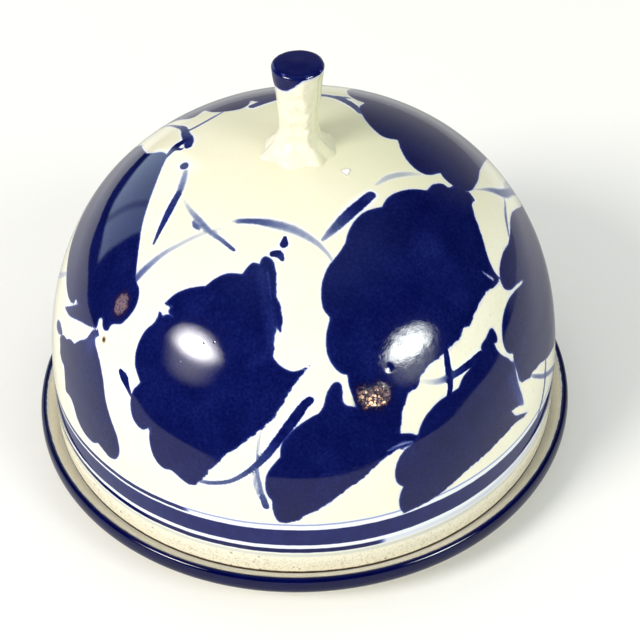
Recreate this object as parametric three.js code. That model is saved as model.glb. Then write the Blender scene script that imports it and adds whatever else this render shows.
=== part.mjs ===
// A covered butter dish in glazed stoneware: a shallow plate, and a tall domed lid
// that lifts off by its knob.
// Millimetres, +Z up. The origin is on the table, at the centre of the plate's foot ring.
import * as THREE from "three";

// Driving dimensions.
const PLATE_RADIUS = 82.5; // widest ring of the plate's lip
const WELL_HEIGHT = 11; // top of the flat well that the lid stands on, above the table
const FOOT_RING_RADIUS = 56; // outer radius of the turned foot ring
const LID_CLEARANCE = 0.6; // between the lid's foot and the inside of the lip, all round
const LID_RADIUS = 77; // outer radius of the lid's straight foot
const LID_WALL_HEIGHT = 7.7; // straight part of the lid's wall, below where it starts to curve in
const LID_RISE = 84.6; // from the straight wall's top to the crown
const LID_EXPONENT = 2.44; // 2 is an ellipse; above 2 the shoulder is fuller
const WALL_THICKNESS = 5.5;
const CROWN_THICKNESS = 7;
const KNOB_HEIGHT = 27.4;
const KNOB_FOOT_RADIUS = 10;

// Plate details.
const FOOT_RING_WIDTH = 6;
const FOOT_RING_RECESS = 4.6; // depth of the hollow inside the foot ring
const FOOT_CHAMFER = 0.5;
const LIP_EDGE_DROP = 0.4; // the widest ring lies this far below the well
const LIP_RISE = 3.2; // crest of the lip above the well
const LIP_CREST_INSET = 1.4; // crest of the lip inside the widest ring
const LIP_UNDERCUT = 2.6; // height of the rounded underside of the lip's edge
const FLANGE_INNER_HEIGHT = 5.2; // underside of the flange where it meets the foot ring

// Lid details.
const LID_FOOT_CHAMFER = 0.8;

// Knob details: a flared foot, a narrow neck and a round, nearly flat top.
const KNOB_NECK_RADIUS = 5.4;
const KNOB_NECK_HEIGHT = 10;
const KNOB_TOP_RADIUS = 7.1;
const KNOB_TOP_EDGE = 1.6; // height of the rounded edge of the top

// Facets: enough for a smooth outline without needless triangles.
const TURN_SEGMENTS = 72;
const KNOB_SEGMENTS = 36;
const DOME_STEPS = 15;
const STEM_STEPS = 10;

const PLATE_CREAM = new THREE.Color(0.88, 0.84, 0.72);
const LID_CREAM = new THREE.Color(0.93, 0.9, 0.79);

// A glossy glaze, a new material for each piece.
function glaze(color) {
  return new THREE.MeshStandardMaterial({ color, roughness: 0.12, metalness: 0 });
}

// A named solid of revolution about +Z. Its [radius, height] points start and end on the axis,
// or close on themselves, with the solid on the left of the direction of travel.
function turned(name, points, segments, material) {
  const profile = points.map(([radius, height]) => new THREE.Vector2(radius, height));
  const geometry = new THREE.LatheGeometry(profile, segments);
  geometry.rotateX(Math.PI / 2);
  const mesh = new THREE.Mesh(geometry, material);
  mesh.name = name;
  return mesh;
}

// Points of a superellipse quarter from the wall (radius, base) up to the axis (0, base + rise).
function domeCurve(radius, base, rise, steps) {
  const power = 2 / LID_EXPONENT;
  return Array.from({ length: steps + 1 }, (_, i) => {
    const angle = (i / steps) * (Math.PI / 2);
    const across = i === steps ? 0 : radius * Math.cos(angle) ** power;
    return [across, base + rise * Math.sin(angle) ** power];
  });
}

// Height of the lid's outside at a given radius.
function lidHeightAt(radius) {
  const wallTop = WELL_HEIGHT + LID_WALL_HEIGHT;
  const across = (radius / LID_RADIUS) ** LID_EXPONENT;
  return wallTop + LID_RISE * (1 - across) ** (1 / LID_EXPONENT);
}

// The shallow plate: flat well, low upturned lip, thin flange and turned foot ring.
function plate() {
  const lipInnerRadius = LID_RADIUS + LID_CLEARANCE;
  const crestRadius = PLATE_RADIUS - LIP_CREST_INSET;
  const crestHeight = WELL_HEIGHT + LIP_RISE;
  const edgeHeight = WELL_HEIGHT - LIP_EDGE_DROP;
  const ringInnerRadius = FOOT_RING_RADIUS - FOOT_RING_WIDTH;
  const points = [
    [0, FOOT_RING_RECESS],
    [ringInnerRadius - FOOT_CHAMFER, FOOT_RING_RECESS],
    [ringInnerRadius, FOOT_CHAMFER],
    [ringInnerRadius + FOOT_CHAMFER, 0],
    [FOOT_RING_RADIUS - FOOT_CHAMFER, 0],
    [FOOT_RING_RADIUS, FOOT_CHAMFER],
    [FOOT_RING_RADIUS + FOOT_CHAMFER, FLANGE_INNER_HEIGHT],
    [PLATE_RADIUS - LIP_UNDERCUT, edgeHeight - LIP_UNDERCUT],
    [PLATE_RADIUS - LIP_UNDERCUT / 4, edgeHeight - LIP_UNDERCUT / 2],
    [PLATE_RADIUS, edgeHeight],
    [PLATE_RADIUS - LIP_CREST_INSET / 4, crestHeight - LIP_CREST_INSET],
    [crestRadius, crestHeight],
    [crestRadius - LIP_CREST_INSET / 2, crestHeight - LIP_CREST_INSET / 4],
    [(crestRadius + lipInnerRadius) / 2, WELL_HEIGHT + LIP_RISE / 3],
    [lipInnerRadius, WELL_HEIGHT],
    [0, WELL_HEIGHT],
  ];
  return turned("plate", points, TURN_SEGMENTS, glaze(PLATE_CREAM));
}

// The thrown lid: a hollow dome, open at the bottom, with a flat seat on its crown for the knob.
function lidDome() {
  const wallTop = WELL_HEIGHT + LID_WALL_HEIGHT;
  const innerRadius = LID_RADIUS - WALL_THICKNESS;
  const innerRise = LID_RISE - CROWN_THICKNESS;
  const seatHeight = lidHeightAt(KNOB_FOOT_RADIUS);
  const outside = domeCurve(LID_RADIUS, wallTop, LID_RISE, DOME_STEPS).filter(
    ([radius]) => radius > KNOB_FOOT_RADIUS,
  );
  const inside = domeCurve(innerRadius, wallTop, innerRise, DOME_STEPS).reverse();
  const foot = [
    [innerRadius + LID_FOOT_CHAMFER, WELL_HEIGHT],
    [LID_RADIUS - LID_FOOT_CHAMFER, WELL_HEIGHT],
    [LID_RADIUS, WELL_HEIGHT + LID_FOOT_CHAMFER],
  ];
  const seat = [
    [KNOB_FOOT_RADIUS, seatHeight],
    [0, seatHeight],
  ];
  const footInside = [innerRadius, WELL_HEIGHT + LID_FOOT_CHAMFER];
  const points = [...inside, footInside, ...foot, ...outside, ...seat];
  return turned("lid_dome", points, TURN_SEGMENTS, glaze(LID_CREAM));
}

// Radius of the knob's stem: it narrows from the foot to the neck, then widens to the top.
function stemRadius(height, stemTop) {
  if (height < KNOB_NECK_HEIGHT) {
    const share = 1 - height / KNOB_NECK_HEIGHT;
    return KNOB_NECK_RADIUS + (KNOB_FOOT_RADIUS - KNOB_NECK_RADIUS) * share ** 2;
  }
  const share = (height - KNOB_NECK_HEIGHT) / (stemTop - KNOB_NECK_HEIGHT);
  return KNOB_NECK_RADIUS + (KNOB_TOP_RADIUS - KNOB_NECK_RADIUS) * share ** 2;
}

// The knob, luted on the seat of the crown.
function lidKnob() {
  const base = lidHeightAt(KNOB_FOOT_RADIUS);
  const stemTop = KNOB_HEIGHT - KNOB_TOP_EDGE;
  const stem = Array.from({ length: STEM_STEPS + 1 }, (_, i) => {
    const height = (stemTop * i) / STEM_STEPS;
    return [stemRadius(height, stemTop), base + height];
  });
  const points = [
    [0, base],
    ...stem,
    [KNOB_TOP_RADIUS - KNOB_TOP_EDGE / 3, base + KNOB_HEIGHT - KNOB_TOP_EDGE / 3],
    [KNOB_TOP_RADIUS - KNOB_TOP_EDGE, base + KNOB_HEIGHT],
    [0, base + KNOB_HEIGHT],
  ];
  return turned("lid_knob", points, KNOB_SEGMENTS, glaze(LID_CREAM));
}

const lid = new THREE.Group();
lid.add(lidDome(), lidKnob());

const butterDish = new THREE.Group();
butterDish.add(plate(), lid);

export default butterDish;
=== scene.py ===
"""Covered butter dish in blue-and-white glazed stoneware: a shallow plate and a domed lid with a knob.

Shapes are worked out in millimetres and stored in metres. Painting on the dome is laid out on a flat
chart of it: the origin is the crown, a point's distance from it is measured along the dome's surface,
and the front is at -Y.
"""
import math
import bpy
import numpy as np
from mathutils import Matrix, Vector

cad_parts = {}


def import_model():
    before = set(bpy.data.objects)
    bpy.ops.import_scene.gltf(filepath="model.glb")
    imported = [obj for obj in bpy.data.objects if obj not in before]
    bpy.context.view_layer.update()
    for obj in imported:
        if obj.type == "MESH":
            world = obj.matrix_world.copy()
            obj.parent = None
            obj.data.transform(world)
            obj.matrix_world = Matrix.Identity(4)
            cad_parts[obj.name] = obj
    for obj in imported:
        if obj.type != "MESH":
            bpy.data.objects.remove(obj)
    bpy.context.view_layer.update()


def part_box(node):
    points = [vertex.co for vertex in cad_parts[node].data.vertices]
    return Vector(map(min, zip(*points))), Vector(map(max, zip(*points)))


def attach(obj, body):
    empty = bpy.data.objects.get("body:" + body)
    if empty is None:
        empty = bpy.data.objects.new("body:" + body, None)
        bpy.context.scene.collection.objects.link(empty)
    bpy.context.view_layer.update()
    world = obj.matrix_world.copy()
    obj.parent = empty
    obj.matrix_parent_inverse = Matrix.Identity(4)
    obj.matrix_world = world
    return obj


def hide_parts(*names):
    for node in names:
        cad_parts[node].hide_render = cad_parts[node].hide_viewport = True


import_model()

MM = 0.001

# ---------------------------------------------------------------- driving dimensions, in millimetres
plate_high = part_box("plate")[1]
dome_low, dome_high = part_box("lid_dome")
knob_low, knob_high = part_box("lid_knob")

PLATE_RADIUS = plate_high.x / MM
LIP_CREST = plate_high.z / MM
WELL = dome_low.z / MM
LID_RADIUS = dome_high.x / MM
KNOB_BASE = knob_low.z / MM
KNOB_HEIGHT = (knob_high.z - knob_low.z) / MM
KNOB_FOOT_RADIUS = knob_high.x / MM

RIM_EDGE = WELL - 0.4  # height of the plate's widest ring
LID_WALL = 7.7  # straight part of the lid's wall
LID_RISE = 84.6
LID_EXPONENT = 2.44
WALL_THICKNESS = 5.5
CROWN_THICKNESS = 7.0
LEAN = (0.0149, -0.0142)  # the thrown lid leans a little: sideways travel per millimetre of height
CURVE_POINTS = 6000  # fine enough that distances along the dome need no correction


# ---------------------------------------------------------------- the dome's profile and its chart
def superellipse(radius, base, rise, count):
    """Points from the crown (0, base + rise) out and down to the wall (radius, base)."""
    angle = np.linspace(np.pi / 2, 0, count)
    power = 2 / LID_EXPONENT
    across = radius * np.maximum(np.cos(angle), 0) ** power
    across[0] = 0
    return across, base + rise * np.maximum(np.sin(angle), 0) ** power


_across, _height = superellipse(LID_RADIUS, WELL + LID_WALL, LID_RISE, CURVE_POINTS)
PROFILE_RADIUS = np.append(_across, LID_RADIUS)
PROFILE_HEIGHT = np.append(_height, WELL)
_steps = np.hypot(np.diff(PROFILE_RADIUS), np.diff(PROFILE_HEIGHT))
PROFILE_TRAVEL = np.append(0, np.cumsum(_steps))
CHART_EDGE = PROFILE_TRAVEL[-1]  # crown to foot along the surface


def on_dome(chart):
    """Points of the dome, in millimetres, for an array of chart points."""
    travel = np.hypot(chart[:, 0], chart[:, 1])
    azimuth = np.arctan2(chart[:, 0], -chart[:, 1])
    radius = np.interp(travel, PROFILE_TRAVEL, PROFILE_RADIUS)
    height = np.interp(travel, PROFILE_TRAVEL, PROFILE_HEIGHT)
    return np.stack([radius * np.sin(azimuth), -radius * np.cos(azimuth), height], 1)


def lean(points):
    """The same points with the lid's lean put in."""
    rise = points[:, 2] - WELL
    moved = points.copy()
    moved[:, 0] += LEAN[0] * rise
    moved[:, 1] += LEAN[1] * rise
    return moved


# ---------------------------------------------------------------- painted leaves
# Each leaf is a closed outline on the chart, in millimetres. It runs smoothly through its points, except
# where a point ends in CORNER, which keeps a sharp corner, such as the notch between two lobes.
CORNER = True

LEAF_FRONT_LEFT = [
    (-40.6, -46, CORNER), (-36, -44.3), (-31, -44.2), (-27.3, -44.8, CORNER), (-25, -43.6), (-21, -42.7),
    (-16.8, -43.6, CORNER), (-14, -40.9), (-12, -41.5, CORNER), (-10.8, -39.6), (-8.8, -40.5),
    (-7.7, -45), (-8, -50), (-6.8, -55), (-7, -61, CORNER), (-8.3, -59, CORNER), (-9, -62), (-9.7, -66.8),
    (-7.5, -69.5), (-4, -71), (0.8, -69.6, CORNER), (-3.5, -73.6), (-9, -80.3), (-13, -84.3), (-20, -88),
    (-24.5, -90.1), (-31, -92.5), (-33.3, -94.1, CORNER), (-37, -95.5), (-40, -97.6, CORNER),
    (-44.5, -99.2), (-48, -98.1), (-53, -92.4, CORNER), (-57, -90.3), (-58.8, -86), (-58, -80.8),
    (-55.8, -77.7, CORNER), (-59.8, -76.9), (-62.1, -73), (-61.3, -68.6), (-58.5, -65.4),
    (-54.3, -64.2, CORNER), (-54.7, -59), (-52.5, -54.5), (-48.5, -51.2), (-44.8, -50),
    (-43.2, -48.8, CORNER), (-42.4, -47.6), (-41.6, -49.4, CORNER), (-40.4, -49.1), (-38.4, -50, CORNER),
    (-39.5, -48.5), (-38.2, -47.6, CORNER),
]
LEAF_FRONT_RIGHT = [
    (49.5, -10.4), (50, -12, CORNER), (49.5, -14), (50.2, -17.5), (51.7, -21.8), (53.5, -26), (55, -30),
    (57.5, -33), (60, -34.5, CORNER), (60, -36.3, CORNER), (56.5, -39.5), (54.5, -42), (52.5, -46.5),
    (51, -50.5), (50, -53, CORNER), (48, -54), (47.2, -57.5, CORNER), (45.3, -59.3),
    (43.5, -61.5, CORNER), (41, -64), (38.5, -66), (35, -70.5), (34.5, -73.5, CORNER), (32, -75.5),
    (30.7, -79.5), (30.6, -83), (30.7, -87, CORNER), (24, -90), (17, -86), (15, -80.8, CORNER),
    (13.5, -77.5), (12.3, -74.5), (11.9, -72, CORNER), (10, -71.7), (7.8, -70), (6, -67), (5.5, -63),
    (6.1, -59.5), (6.8, -57.2, CORNER), (5, -55), (4.4, -51), (5, -47), (6.7, -43.2), (9.5, -39.5),
    (11.3, -36.5, CORNER), (12.3, -32.8), (14.2, -29.2), (17.2, -26), (21.7, -24, CORNER), (23.5, -20.5),
    (27, -17.5), (31, -15.7), (35, -15, CORNER), (37, -12), (40, -10.4), (42, -11.2, CORNER), (44.5, -9),
    (47, -9),
]
LEAF_BOTTOM_MIDDLE = [
    (6, -76.5), (8, -74.2), (9.9, -74.6), (10.3, -77.2, CORNER), (11.2, -80), (14.8, -80.8, CORNER),
    (20, -82), (28, -86), (31, -87.3), (35, -87), (38.5, -87.4, CORNER), (36, -90.3), (33, -91.5),
    (30, -93), (26.5, -95.5), (23, -98.5), (20, -101.5), (16, -104.5), (12, -107), (9, -109.5),
    (4, -112.5), (0, -114), (-3, -115.2, CORNER), (-6, -116.8), (-9.5, -117.4), (-13, -117),
    (-14.8, -114.5), (-15.2, -111), (-14.8, -109, CORNER), (-16.5, -106.5), (-16.7, -103), (-15.4, -99.5),
    (-12.5, -96.7), (-10.2, -94.8, CORNER), (-9.4, -91), (-6, -87.5), (-1, -84.5), (3.3, -82.5, CORNER),
    (4.7, -80.5), (5.3, -78.3),
]
LEAF_BOTTOM_RIGHT = [
    (57.5, -54), (59, -50.6), (61, -51), (62.7, -53), (61.5, -54.3, CORNER), (63.2, -55.6), (66.5, -56.2),
    (70, -55.8), (74, -56.5), (79, -60), (84, -62), (88, -63.6, CORNER), (83.5, -65.7),
    (79.5, -69.3, CORNER), (84, -69.2), (88, -67), (93, -64, CORNER), (89.5, -68), (85.5, -71.2),
    (82.5, -75), (78.5, -80), (74.5, -85), (70, -89.5), (64.5, -95), (60, -100), (56, -104), (52, -107),
    (46, -110.5), (40, -113.5, CORNER), (37.8, -112), (36.3, -109), (36.2, -106), (36.8, -103.8, CORNER),
    (34.2, -103.3), (32.3, -101.2), (31.7, -97.8), (32.7, -94), (35.5, -90.5), (38, -88, CORNER),
    (38, -85), (39.5, -81), (43, -76.5), (45.5, -74.5), (50, -71, CORNER), (51, -67.5), (53, -64.5),
    (55, -60, CORNER), (56.8, -58.8, CORNER), (56, -57),
]
LEAF_RIGHT_UPPER = [
    (62.5, -36.4), (60.5, -34), (60.2, -30), (61.5, -25), (63.9, -20.3, CORNER), (65, -15), (65.5, -10),
    (67, -5), (70, 0), (74, 6), (77, 12), (80, 20), (84, 26), (92, 26), (104, 14), (112, -2), (112, -16),
    (106, -26), (96, -32), (84, -34), (74, -28), (71, -29, CORNER), (68, -32.5), (65.5, -35.5),
]
LEAF_RIGHT_LOWER = [
    (71.3, -30.2, CORNER), (67, -36), (64.8, -40), (63.6, -45), (64.3, -50), (66.5, -53.3), (69.5, -54.2),
    (71.9, -52.8, CORNER), (72.6, -54.6), (75, -56.5), (79, -58.5), (81.2, -58.8, CORNER), (84, -56.3),
    (86.6, -54.4, CORNER), (87, -52.3), (89.5, -49.5), (92, -46), (98, -40), (103, -33), (108, -25),
    (110, -16), (96, -12), (82, -16), (74, -24),
]
LEAF_BACK_RIGHT = [
    (20, 26, CORNER), (18, 21.5), (19, 15), (21, 9.5), (24, 5.5), (28, 5, CORNER), (28.6, 0),
    (30.2, -4.6), (33, -7.8), (36, -8.3), (39.8, -5.8, CORNER), (41, -7.8), (43.2, -9.3), (46, -9.8),
    (48.6, -9), (50.4, -7.2, CORNER), (51.6, -4.5), (53, -1), (54.5, 5), (56, 9), (58, 14), (60.5, 20),
    (63, 27), (64, 34), (60, 45), (50, 54), (38, 56), (26, 52), (19, 45), (15.6, 38), (15.6, 32),
    (17.5, 28),
]
LEAF_BACK_LEFT = [
    (-41.5, 37, CORNER), (-38.2, 34), (-35.6, 31), (-33, 28.2), (-30.9, 27.6), (-28.1, 31.5, CORNER),
    (-25, 26.5), (-21, 24.2), (-16.7, 23.8), (-14.5, 26), (-13.8, 29.7, CORNER), (-11.5, 27.5),
    (-8, 26.8), (-3.5, 27.8), (0.5, 32), (1, 42), (-4, 58), (-14, 70), (-26, 68), (-37, 57), (-42, 46),
]
LEAF_LEFT = [
    (-38, 6.8, CORNER), (-39.5, 2), (-41.5, -5), (-44, -13), (-45.8, -19), (-47, -25), (-48.5, -32),
    (-49, -35.5), (-48.4, -39), (-49.8, -42.5), (-52.5, -44.4), (-56.5, -45.4), (-59.5, -44.2, CORNER),
    (-61, -43.8), (-62.7, -44.6), (-64.6, -43.2), (-64, -39.7, CORNER), (-65.8, -39.4), (-67.5, -41),
    (-70.2, -39, CORNER), (-71.4, -36.7), (-72, -34), (-73.5, -30.5), (-75.4, -27.6),
    (-76, -25.2, CORNER), (-77.3, -25.8), (-79.7, -23.8, CORNER), (-81.1, -20), (-81.9, -15), (-81.8, -8),
    (-80.9, -1), (-79.3, 5), (-76, 13), (-72, 19), (-68, 26), (-61, 33), (-54, 32), (-49.5, 26.5),
    (-48.3, 22), (-47, 18), (-45.5, 14.5), (-43, 12.3), (-40, 10.2),
]
LEAF_BOTTOM_LEFT = [
    (-99.5, -44, CORNER), (-96.5, -41), (-94, -37.5, CORNER), (-95.3, -35), (-95.5, -31, CORNER),
    (-93.8, -29.5), (-92.5, -27.4), (-89, -29.5), (-87, -32.7, CORNER), (-84, -35), (-82, -38.1, CORNER),
    (-78, -39.5), (-74, -41.3), (-70, -41), (-67.2, -42.3, CORNER), (-67.2, -44, CORNER), (-69.6, -44),
    (-69.9, -48), (-70, -52), (-71, -57), (-73, -63), (-73.7, -69), (-73.8, -74), (-75.5, -78.5),
    (-78, -80.1), (-81, -80), (-84, -78), (-86, -74.5), (-87.8, -71, CORNER), (-91, -69.5), (-94, -66),
    (-96, -62), (-96.9, -57), (-96, -52.5), (-96.4, -49),
]
LEAF_LEFT_FIN = [
    (-84.5, -21.6, CORNER), (-80.1, -25.2), (-76.4, -27.6, CORNER), (-73.6, -29.4), (-70.6, -34),
    (-69.4, -39.9, CORNER), (-71.8, -38), (-74.7, -34.9), (-78.4, -31.2), (-82, -27),
]

# A brush stroke is [(x, y, half width, depth), ...]. Depth runs from 0, no blue, to 1, full cobalt.
STROKES = [
    [(-52.3, -36.9, 1.0, 0.8), (-48.2, -34.7, 1.0, 0.76), (-44.1, -33, 0.9, 0.66),
     (-39, -31.3, 0.7, 0.56), (-34.3, -30.4, 0.6, 0.46), (-29.5, -29.4, 0.6, 0.42),
     (-23.7, -28.9, 0.5, 0.32), (-18, -29.2, 0.4, 0.2)],
    [(-18.8, -27.3, 0.4, 0.4), (-17.2, -27.5, 0.7, 0.74), (-12.6, -28.4, 0.9, 0.8),
     (-8.4, -29.7, 1.1, 0.74), (-3.5, -31.7, 1.1, 0.64), (0.7, -34.3, 0.9, 0.58), (4.4, -37.4, 0.6, 0.52),
     (7.2, -41, 0.4, 0.45), (8, -44, 0.3, 0.3)],
    [(-32.6, -15.5, 0.4, 0.25), (-30.9, -19.6, 0.6, 0.5), (-28.1, -24.6, 0.8, 0.68),
     (-25.4, -28.8, 0.7, 0.7), (-22.1, -32.5, 0.6, 0.75), (-18.8, -36.3, 0.5, 0.85)],
    [(-29.8, -24.4, 0.5, 0.7), (-29.2, -26.0, 0.8, 0.78), (-28.2, -27.2, 0.5, 0.7)],
    [(-32.6, -1.2, 1.2, 1.0), (-32.4, -1.9, 1.2, 1.0)],
    [(-32.1, -4.4, 0.7, 0.6), (-32.7, -7.9, 0.9, 0.66), (-33.7, -11.6, 0.9, 0.74)],
    [(-34.1, -12.6, 1.0, 0.9), (-36.9, -17.8, 1.1, 0.95), (-39.6, -22.6, 0.8, 0.95),
     (-42.2, -27, 0.4, 0.8)],
    [(-31.6, 8.0, 1.2, 0.95), (-31.6, 10.8, 1.5, 0.95), (-32.8, 15.4, 1.3, 0.92),
     (-33.9, 20.7, 1.0, 0.88), (-36.3, 24.8, 0.7, 0.82), (-39.7, 30.7, 0.5, 0.8),
     (-43.7, 37.1, 0.5, 0.75), (-48, 46, 0.5, 0.7)],
    [(-33, 17.4, 0.5, 0.8), (-30, 18.4, 0.6, 0.8), (-25.8, 21.1, 0.6, 0.75), (-22, 24.2, 0.5, 0.7)],
    [(4, 31.5, 0.6, 0.6), (8, 30, 0.9, 0.75), (11.5, 28.3, 1.1, 0.85), (14.3, 25.6, 1.3, 0.9),
     (16.5, 22.2, 1.1, 0.9), (18, 18.3, 0.8, 0.8)],
    [(18.8, -20.2, 1.3, 0.95), (16, -23.4, 1.5, 1.0), (12, -27.9, 1.5, 0.95), (8.3, -32.2, 1.1, 0.8),
     (5.2, -35.6, 0.5, 0.6)],
    [(20.5, -16, 0.5, 0.36), (24, -12.7, 0.8, 0.46), (29, -10.2, 0.8, 0.44), (33.5, -9, 0.5, 0.25)],
    [(47, -9.6, 0.3, 0.3), (53, -5.5, 0.35, 0.42), (57, -2.6, 0.7, 0.6), (63.7, 1.8, 1.4, 0.78),
     (69, 9, 1.2, 0.7), (73.3, 16, 1.0, 0.6), (78, 28, 0.8, 0.6), (81, 39, 0.8, 0.6)],
    [(66, 9, 0.5, 0.3), (70, 15, 1.6, 0.42), (73, 21.5, 1.4, 0.36)],
    [(64.1, -1.5, 0.4, 0.6), (63.4, -9.5, 0.6, 0.7), (64.2, -16.4, 0.5, 0.64), (66, -21, 0.4, 0.5)],
    [(-45, -97.6, 0.4, 0.5), (-42, -98.5, 0.6, 0.7), (-38, -99.8, 0.7, 0.8), (-30, -100.4, 0.7, 0.82),
     (-22, -98, 0.8, 0.86), (-16, -94.5, 1.1, 0.92), (-10, -89.2, 1.3, 1.0), (-5, -84.2, 1.4, 1.0),
     (-1.2, -80, 1.2, 1.0), (0.4, -78.9, 1.1, 1.0)],
    [(-15.3, -85.5, 0.3, 0.4), (-17.5, -91, 0.4, 0.5), (-18.8, -97, 0.4, 0.66), (-19.0, -102, 0.6, 0.72),
     (-18.8, -106, 0.7, 0.75)],
    [(-20.2, -98, 0.3, 0.3), (-20.8, -102, 0.4, 0.5), (-20.2, -106, 0.4, 0.5)],
    [(-18.6, -107.2, 0.9, 0.85), (-17.8, -110.8, 0.9, 0.9)],
    [(-61.4, -58.2, 0.9, 1.0), (-60.6, -60.3, 1.4, 1.0), (-60.3, -63.2, 0.9, 1.0),
     (-59.8, -66.4, 0.5, 0.95), (-59, -68.8, 0.5, 0.9)],
    [(-8.3, -39, 0.9, 1.0), (-6.8, -39.2, 1.1, 1.0), (-5.8, -40.8, 0.6, 0.9)],
    [(-4.9, -34.4, 0.5, 1.0), (-5.2, -36.4, 1.1, 1.0)],
    [(42.6, -61.6, 0.8, 1.0), (44.7, -66.9, 1.0, 1.0), (46.5, -70.9, 0.9, 1.0), (46.8, -75, 0.9, 1.0)],
    [(56.4, -59.6, 1.3, 1.0), (51.1, -64.6, 1.1, 1.0), (46.6, -68.1, 1.0, 0.9), (42.4, -70.5, 0.8, 0.6),
     (39.5, -71.3, 0.7, 0.4), (35.5, -71.8, 0.6, 0.25)],
    [(97.5, -41.4, 0.7, 0.75), (101.2, -45.6, 0.8, 0.85), (104.3, -50.6, 0.8, 0.85),
     (105.8, -59.1, 0.7, 0.7)],
    [(86, -53.8, 0.4, 0.5), (90.5, -51.8, 0.6, 0.7), (100.3, -45.4, 0.7, 0.72), (112, -33, 0.9, 0.7),
     (124, -18, 1.1, 0.6)],
    [(-104, 34, 0.8, 0.4), (-100.5, 21, 1.0, 0.45), (-95, 8, 1.0, 0.45), (-88, -3, 0.9, 0.45),
     (-81.5, -10, 0.7, 0.4)],
    [(-93.3, -21.4, 1.6, 0.95), (-91.8, -24, 1.8, 0.95), (-90.2, -27.3, 0.9, 0.9)],
    [(-32.5, 12.2, 0.6, 1.0), (-35, 10.6, 1.3, 1.0), (-38.4, 6.4, 0.7, 1.0)],
    [(-33.8, 7.4, 0.5, 1.0), (-36.6, 9.4, 0.7, 1.0)],
    [(48.6, -9.3, 0.5, 0.9), (49.9, -11.6, 0.9, 0.9)],
]

# Streaks where the brush left the blue thin, laid out like the strokes; depth is how much is missing.
THIN_STREAKS = [
    [(-12.2, -42.4, 1.6, 0.1), (-11.2, -47.2, 2.0, 0.16), (-10.4, -53, 2.2, 0.16), (-9.4, -59, 2.2, 0.2),
     (-10.4, -65, 1.8, 0.14), (-16, -68, 1.8, 0.08)],
    [(-10.0, -44, 0.35, 0.3), (-9.6, -48, 0.4, 0.3), (-9.4, -52, 0.35, 0.25)],
    [(27.5, -92.9, 0.5, 0.7), (32.3, -90.4, 0.7, 0.8), (36, -89.4, 0.5, 0.7)],
    [(30.4, -93.4, 0.4, 0.5), (35.9, -90.6, 0.4, 0.5)],
    [(52.6, -35.4, 0.25, 0.8), (54.9, -35.8, 0.45, 1.0), (57.6, -36, 0.6, 1.0)],
    [(75, -60, 3.0, 0.28), (82, -62.5, 2.6, 0.4), (87, -64, 1.4, 0.55)],
    [(72.5, -28, 0.4, 0.2), (71, -29.5, 0.6, 0.6)],
    [(-73, -43.5, 3.0, 0.25), (-69, -44, 2.0, 0.25)],
    [(35, -35, 5, 0.12), (45, -45, 5, 0.12)],
]

# The side away from the photograph repeats the same brushwork: a leaf, or a stroke's number in STROKES,
# and the angle in degrees by which it is turned about the axis.
BACK_LEAVES = [
    (LEAF_FRONT_LEFT, 190),
    (LEAF_BOTTOM_MIDDLE, 143),
    (LEAF_BOTTOM_LEFT, -52),
    (LEAF_BOTTOM_MIDDLE, 205),
    (LEAF_BOTTOM_RIGHT, 82),
]
BACK_STROKES = [(15, 190), (10, 165), (6, 215), (23, 205), (2, 175), (1, 185), (16, 145)]


def turn(points, degrees):
    """Chart points, with whatever follows x and y in each, turned about the crown."""
    angle = math.radians(degrees)
    cosine, sine = math.cos(angle), math.sin(angle)
    return [(x * cosine - y * sine, x * sine + y * cosine, *rest) for x, y, *rest in points]


DRY_LEAVES = [LEAF_FRONT_LEFT, LEAF_FRONT_RIGHT, LEAF_BOTTOM_MIDDLE, LEAF_BOTTOM_RIGHT]
WET_LEAVES = [LEAF_RIGHT_UPPER, LEAF_RIGHT_LOWER, LEAF_BACK_RIGHT, LEAF_BACK_LEFT]
WET_LEAVES += [LEAF_LEFT, LEAF_BOTTOM_LEFT, LEAF_LEFT_FIN]
WET_LEAVES += [turn(leaf, degrees) for leaf, degrees in BACK_LEAVES]
ALL_STROKES = STROKES + [turn(STROKES[index], degrees) for index, degrees in BACK_STROKES]


def smooth_run(points, corners, closed, spacing=0.45):
    """Rows of coordinates along a curve through the points, with the curve broken at corners."""
    count = len(points)
    runs = []
    for i in range(count if closed else count - 1):
        a, b = points[i], points[(i + 1) % count]
        before, after = points[i - 1], points[(i + 2) % count]
        chord = max(np.hypot(*(b - a)[:2]), 1e-6)
        first = not closed and i == 0
        last = not closed and i == count - 2
        along_a = b - a if corners[i] or first else b - before
        along_b = b - a if corners[(i + 1) % count] or last else after - a
        tangent_a = along_a * chord / max(np.hypot(*along_a[:2]), 1e-6)
        tangent_b = along_b * chord / max(np.hypot(*along_b[:2]), 1e-6)
        t = np.arange(0, 1, 1 / max(2, math.ceil(chord / spacing)))[:, None]
        runs.append(
            (2 * t**3 - 3 * t**2 + 1) * a + (t**3 - 2 * t**2 + t) * tangent_a
            + (3 * t**2 - 2 * t**3) * b + (t**3 - t**2) * tangent_b
        )
    if not closed:
        runs.append(points[-1:])
    return np.concatenate(runs)


def nearest(points, starts, ends):
    """Distance from each point to the nearest segment, which segment that is and how far along it."""
    best = np.full(len(points), 1e9)
    which = np.zeros(len(points), int)
    share = np.zeros(len(points))
    for i, (start, end) in enumerate(zip(starts, ends)):
        along = end - start
        t = np.clip((points - start) @ along / max(along @ along, 1e-12), 0, 1)
        distance = np.linalg.norm(points - start - t[:, None] * along, axis=1)
        closer = distance < best
        best[closer] = distance[closer]
        which[closer] = i
        share[closer] = t[closer]
    return best, which, share


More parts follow.
